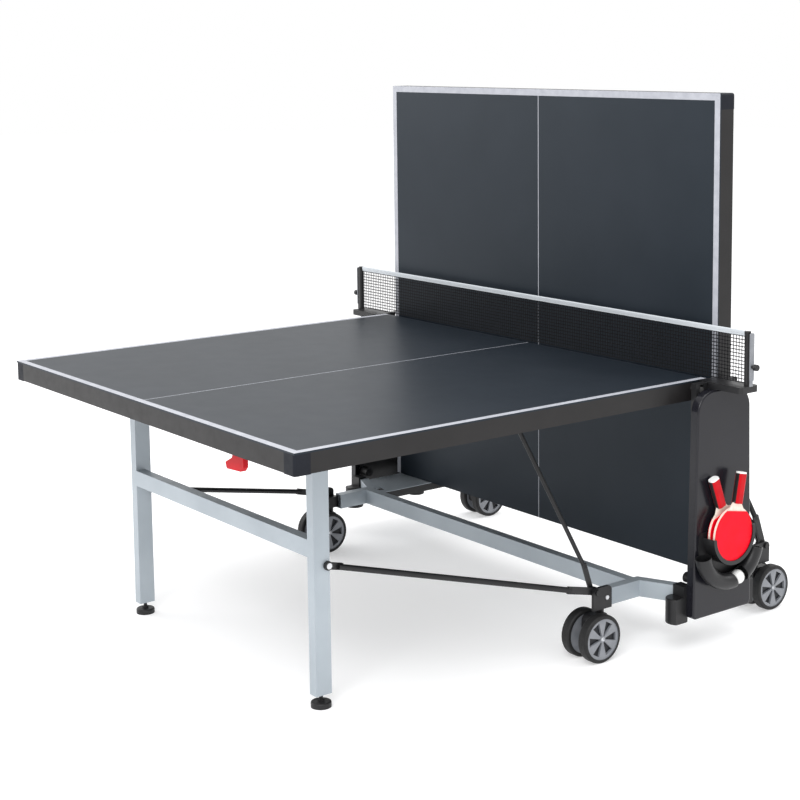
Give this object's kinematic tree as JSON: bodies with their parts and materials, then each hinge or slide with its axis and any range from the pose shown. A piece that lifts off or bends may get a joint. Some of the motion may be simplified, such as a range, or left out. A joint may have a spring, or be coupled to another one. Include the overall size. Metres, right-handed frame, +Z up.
{
  "type": "folding table tennis table",
  "caption": "Rollaway table tennis table, one half flat for play and one folded up, with net, twin-wheel castors, bats and ball on a side panel.",
  "frame": {"origin": "centre of the bounding box on the floor, at the stored pose", "axes": "+X along the net, +Y from the flat half towards the folded half, +Z up"},
  "size_m": [1.898, 1.788, 1.552],
  "materials": {
    "tabletop": "satin dark slate laminate",
    "line_paint": "matt line paint",
    "frame_paint": "satin black powder coat",
    "cap_plastic": "matt moulded plastic",
    "roller_plastic": "matt",
    "silver_tube": "satin silver-grey powder coat",
    "foot_plastic": "matt",
    "black_steel": "satin black powder coat",
    "red_plastic": "gloss",
    "panel_gloss": "gloss moulded plastic",
    "black_plastic": "satin moulded plastic",
    "fork_plastic": "satin moulded plastic",
    "wheel_tyre": "matt rubber",
    "net_mesh": "woven mesh",
    "net_tape": "woven tape",
    "ball_white": "matt",
    "bat_wood": "lacquered"
  },
  "bodies": {
    "chassis": {"panel_right": "panel_gloss", "panel_left": "panel_gloss", "guide_right": "black_plastic", "guide_left": "black_plastic", "arm_near_right": "silver_tube", "arm_near_left": "silver_tube", "arm_far_right": "silver_tube", "arm_far_left": "silver_tube", "castor_blocks_right": "black_steel", "castor_blocks_left": "black_steel", "shoes_right": "black_plastic", "shoes_left": "black_plastic", "cross_tube_near": "silver_tube", "cross_tube_far": "silver_tube", "shelf_plate": "silver_tube", "shelf_edge": "black_plastic", "net_arm_right": "black_plastic", "net_arm_left": "black_plastic", "net_post_right": "black_steel", "net_post_left": "black_steel", "net_mesh": "net_mesh", "net_tape": "net_tape", "bat_holder": "black_plastic", "ball_tube": "black_plastic"},
    "near_carriage": {"near_rollers": "roller_plastic"},
    "near_half": {"near_board": "tabletop", "near_lines": "line_paint", "near_frame": "frame_paint", "near_corner_caps": "cap_plastic"},
    "near_leg_frame": {"near_legs": "silver_tube"},
    "near_strut_pair": {"near_struts": "black_steel"},
    "near_link_pair": {"near_links": "black_steel"},
    "near_release": {"near_lever": "red_plastic"},
    "near_foot_screw_a": {"near_foot_a": "foot_plastic"},
    "near_foot_screw_b": {"near_foot_b": "foot_plastic"},
    "far_carriage": {"far_rollers": "roller_plastic"},
    "far_half": {"far_board": "tabletop", "far_lines": "line_paint", "far_frame": "frame_paint", "far_corner_caps": "cap_plastic"},
    "far_leg_frame": {"far_legs": "silver_tube"},
    "far_strut_pair": {"far_struts": "black_steel"},
    "far_link_pair": {"far_links": "black_steel"},
    "far_release": {"far_lever": "red_plastic"},
    "far_foot_screw_a": {"far_foot_a": "foot_plastic"},
    "far_foot_screw_b": {"far_foot_b": "foot_plastic"},
    "castor_near_right": {"castor_fork_near_right": "fork_plastic"},
    "wheels_near_right": {"castor_wheels_near_right": "wheel_tyre"},
    "castor_far_right": {"castor_fork_far_right": "fork_plastic"},
    "wheels_far_right": {"castor_wheels_far_right": "wheel_tyre"},
    "castor_near_left": {"castor_fork_near_left": "fork_plastic"},
    "wheels_near_left": {"castor_wheels_near_left": "wheel_tyre"},
    "castor_far_left": {"castor_fork_far_left": "fork_plastic"},
    "wheels_far_left": {"castor_wheels_far_left": "wheel_tyre"},
    "tension_right": {"net_knob_right": "black_plastic"},
    "tension_left": {"net_knob_left": "black_plastic"},
    "bat_front": {"bat_front": "bat_wood"},
    "bat_rear": {"bat_rear": "bat_wood"},
    "ball": {"ball": "ball_white"}
  },
  "joints": [
    {"name": "near_slide", "type": "slide", "parent": "chassis", "child": "near_carriage", "axis": [0, 0, -1], "range_m": [0, 0.499]},
    {"name": "near_fold", "type": "hinge", "parent": "near_carriage", "child": "near_half", "pos_m": [0, 0.416, 0.74], "axis": [-1, 0, 0], "range_deg": [0, 90]},
    {"name": "near_leg_hinge", "type": "hinge", "parent": "near_half", "child": "near_leg_frame", "pos_m": [0, -0.619, 0.725], "axis": [-1, 0, 0], "range_deg": [-89.61, 0]},
    {"name": "near_link_hinge", "type": "hinge", "parent": "chassis", "child": "near_link_pair", "pos_m": [0, 0.131, 0.193], "axis": [-1, 0, 0], "range_deg": [0, 96.14]},
    {"name": "near_strut_hinge", "type": "hinge", "parent": "chassis", "child": "near_strut_pair", "pos_m": [0, 0.131, 0.193], "axis": [-1, 0, 0], "range_deg": [0, 44.2]},
    {"name": "near_foot_a_turn", "type": "hinge", "parent": "near_leg_frame", "child": "near_foot_screw_a", "pos_m": [-0.474, -0.642, 0.02], "axis": [0, 0, 1], "continuous": true},
    {"name": "near_foot_b_turn", "type": "hinge", "parent": "near_leg_frame", "child": "near_foot_screw_b", "pos_m": [0.474, -0.642, 0.02], "axis": [0, 0, 1], "continuous": true},
    {"name": "near_release_lever", "type": "hinge", "parent": "near_half", "child": "near_release", "pos_m": [0.465, -0.859, 0.727], "axis": [1, 0, 0], "range_deg": [0, 25], "stiffness_Nm_per_rad": 0.15, "springref_deg": -28.65},
    {"name": "far_slide", "type": "slide", "parent": "chassis", "child": "far_carriage", "axis": [0, 0, 1], "range_m": [0, 0.499]},
    {"name": "far_unfold", "type": "hinge", "parent": "far_carriage", "child": "far_half", "pos_m": [0, 0.536, 0.242], "axis": [-1, 0, 0], "range_deg": [0, 90]},
    {"name": "far_leg_hinge", "type": "hinge", "parent": "far_half", "child": "far_leg_frame", "pos_m": [0, 0.551, 1.277], "axis": [-1, 0, 0], "range_deg": [-89.61, 0]},
    {"name": "far_link_hinge", "type": "hinge", "parent": "chassis", "child": "far_link_pair", "pos_m": [0, 0.821, 0.193], "axis": [-1, 0, 0], "range_deg": [0, 96.14]},
    {"name": "far_strut_hinge", "type": "hinge", "parent": "chassis", "child": "far_strut_pair", "pos_m": [0, 0.821, 0.193], "axis": [-1, 0, 0], "range_deg": [0, 44.2]},
    {"name": "far_foot_a_turn", "type": "hinge", "parent": "far_leg_frame", "child": "far_foot_screw_a", "pos_m": [0.474, 0.58127, 0.57227], "axis": [0, -0.0103, 0.9999], "continuous": true},
    {"name": "far_foot_b_turn", "type": "hinge", "parent": "far_leg_frame", "child": "far_foot_screw_b", "pos_m": [-0.474, 0.58127, 0.57227], "axis": [0, -0.0103, 0.9999], "continuous": true},
    {"name": "far_release_lever", "type": "hinge", "parent": "far_half", "child": "far_release", "pos_m": [-0.465, 0.549, 1.517], "axis": [-1, 0, 0], "range_deg": [0, 25], "stiffness_Nm_per_rad": 0.15, "springref_deg": -28.65},
    {"name": "swivel_near_right", "type": "hinge", "parent": "chassis", "child": "castor_near_right", "pos_m": [0.6655, 0.16, 0.13], "axis": [0, 0, 1], "continuous": true},
    {"name": "spin_near_right", "type": "hinge", "parent": "castor_near_right", "child": "wheels_near_right", "pos_m": [0.6655, 0.126, 0.068], "axis": [1, 0, 0], "continuous": true},
    {"name": "swivel_far_right", "type": "hinge", "parent": "chassis", "child": "castor_far_right", "pos_m": [0.6655, 0.792, 0.13], "axis": [0, 0, 1], "continuous": true},
    {"name": "spin_far_right", "type": "hinge", "parent": "castor_far_right", "child": "wheels_far_right", "pos_m": [0.6655, 0.826, 0.068], "axis": [1, 0, 0], "continuous": true},
    {"name": "swivel_near_left", "type": "hinge", "parent": "chassis", "child": "castor_near_left", "pos_m": [-0.6655, 0.16, 0.13], "axis": [0, 0, 1], "continuous": true},
    {"name": "spin_near_left", "type": "hinge", "parent": "castor_near_left", "child": "wheels_near_left", "pos_m": [-0.6655, 0.126, 0.068], "axis": [1, 0, 0], "continuous": true},
    {"name": "swivel_far_left", "type": "hinge", "parent": "chassis", "child": "castor_far_left", "pos_m": [-0.6655, 0.792, 0.13], "axis": [0, 0, 1], "continuous": true},
    {"name": "spin_far_left", "type": "hinge", "parent": "castor_far_left", "child": "wheels_far_left", "pos_m": [-0.6655, 0.826, 0.068], "axis": [1, 0, 0], "continuous": true},
    {"name": "tension_knob_right", "type": "hinge", "parent": "chassis", "child": "tension_right", "pos_m": [0.94, 0.476, 0.815], "axis": [1, 0, 0], "continuous": true},
    {"name": "tension_knob_left", "type": "hinge", "parent": "chassis", "child": "tension_left", "pos_m": [-0.94, 0.476, 0.815], "axis": [-1, 0, 0], "continuous": true},
    {"name": "bat_front_lift", "type": "slide", "parent": "chassis", "child": "bat_front", "axis": [0, 0, 1], "range_m": [0, 0.12]},
    {"name": "bat_rear_lift", "type": "slide", "parent": "chassis", "child": "bat_rear", "axis": [0, 0, 1], "range_m": [0, 0.12]},
    {"name": "ball_out", "type": "slide", "parent": "chassis", "child": "ball", "axis": [1, 0, 0], "range_m": [0, 0.06]}
  ],
  "couplings": [
    {"joint": "near_slide", "follows": "near_fold", "m_per_rad": 0.31704},
    {"joint": "near_leg_hinge", "follows": "near_fold", "ratio": -0.99343},
    {"joint": "near_link_hinge", "follows": "near_fold", "ratio": 1.066},
    {"joint": "near_strut_hinge", "follows": "near_fold", "ratio": 0.48889},
    {"joint": "far_slide", "follows": "far_unfold", "m_per_rad": 0.31704},
    {"joint": "far_leg_hinge", "follows": "far_unfold", "ratio": -0.99343},
    {"joint": "far_link_hinge", "follows": "far_unfold", "ratio": 1.066},
    {"joint": "far_strut_hinge", "follows": "far_unfold", "ratio": 0.48889}
  ]
}
